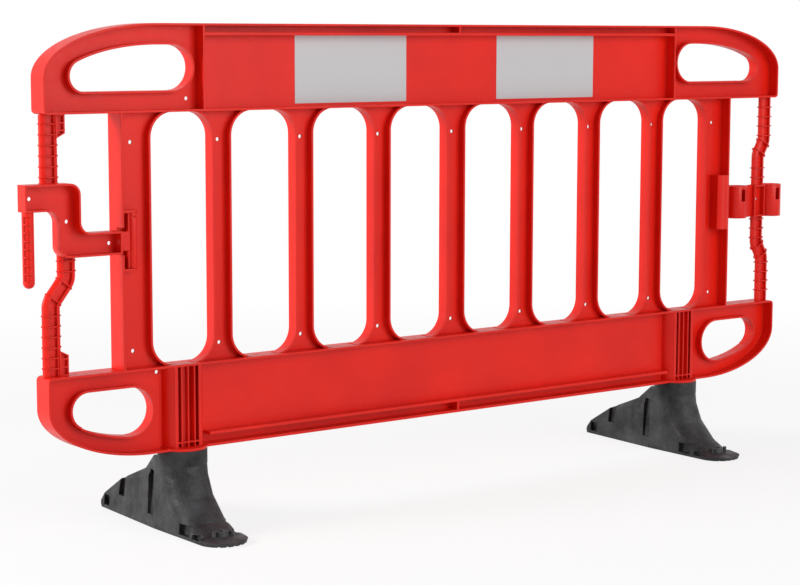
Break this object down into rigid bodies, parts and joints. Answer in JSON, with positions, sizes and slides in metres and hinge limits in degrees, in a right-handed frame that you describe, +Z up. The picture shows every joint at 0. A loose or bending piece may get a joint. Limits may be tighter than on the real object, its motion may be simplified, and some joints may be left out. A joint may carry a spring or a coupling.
{
  "type": "pedestrian barrier",
  "caption": "Moulded plastic pedestrian barrier with slotted panel, hand holes, dark swivelling feet, a swinging hook arm at one end and an eye bracket at the other",
  "frame": {"origin": "on the ground, under the middle of the whole part's box; the panel's middle plane is at Y = -0.042", "axes": "+X along the panel from the hook arm to the eye bracket, -Y towards the front that carries the reflective sheets, +Z up"},
  "size_m": [2.085, 0.472, 1.01],
  "materials": {
    "red_moulding": "satin, fine moulded grain",
    "dark_feet": "matte, slightly mottled",
    "white_sheet": "smooth reflective sheet",
    "hinge_steel": "plain"
  },
  "bodies": {
    "panel": {"top_rail": "red_moulding", "bottom_rail": "red_moulding", "wing_top_left": "red_moulding", "wing_top_right": "red_moulding", "wing_bottom_left": "red_moulding", "wing_bottom_right": "red_moulding", "foot_socket_left": "red_moulding", "foot_socket_right": "red_moulding", "post_left": "red_moulding", "post_right": "red_moulding", "bar_1": "red_moulding", "bar_2": "red_moulding", "bar_3": "red_moulding", "bar_4": "red_moulding", "bar_5": "red_moulding", "bar_6": "red_moulding", "bar_7": "red_moulding", "end_rod_left": "red_moulding", "end_rod_right_upper": "red_moulding", "end_rod_right_lower": "red_moulding", "eye_bracket": "red_moulding", "hinge_pin": "hinge_steel", "sheet_left": "white_sheet", "sheet_right": "white_sheet"},
    "arm": {"link_arm": "red_moulding", "hook_pin": "red_moulding"},
    "left_foot": {"foot_left": "dark_feet"},
    "right_foot": {"foot_right": "dark_feet"}
  },
  "joints": [
    {"name": "arm_swing", "type": "hinge", "parent": "panel", "child": "arm", "pos_m": [-0.806, -0.05325, 0.59], "axis": [0, 0, 1], "range_deg": [0, 110]},
    {"name": "left_foot_swivel", "type": "hinge", "parent": "panel", "child": "left_foot", "pos_m": [-0.691, -0.042, 0.15], "axis": [0, 0, 1], "range_deg": [-90, 90]},
    {"name": "right_foot_swivel", "type": "hinge", "parent": "panel", "child": "right_foot", "pos_m": [0.691, -0.042, 0.15], "axis": [0, 0, 1], "range_deg": [-90, 90]}
  ]
}
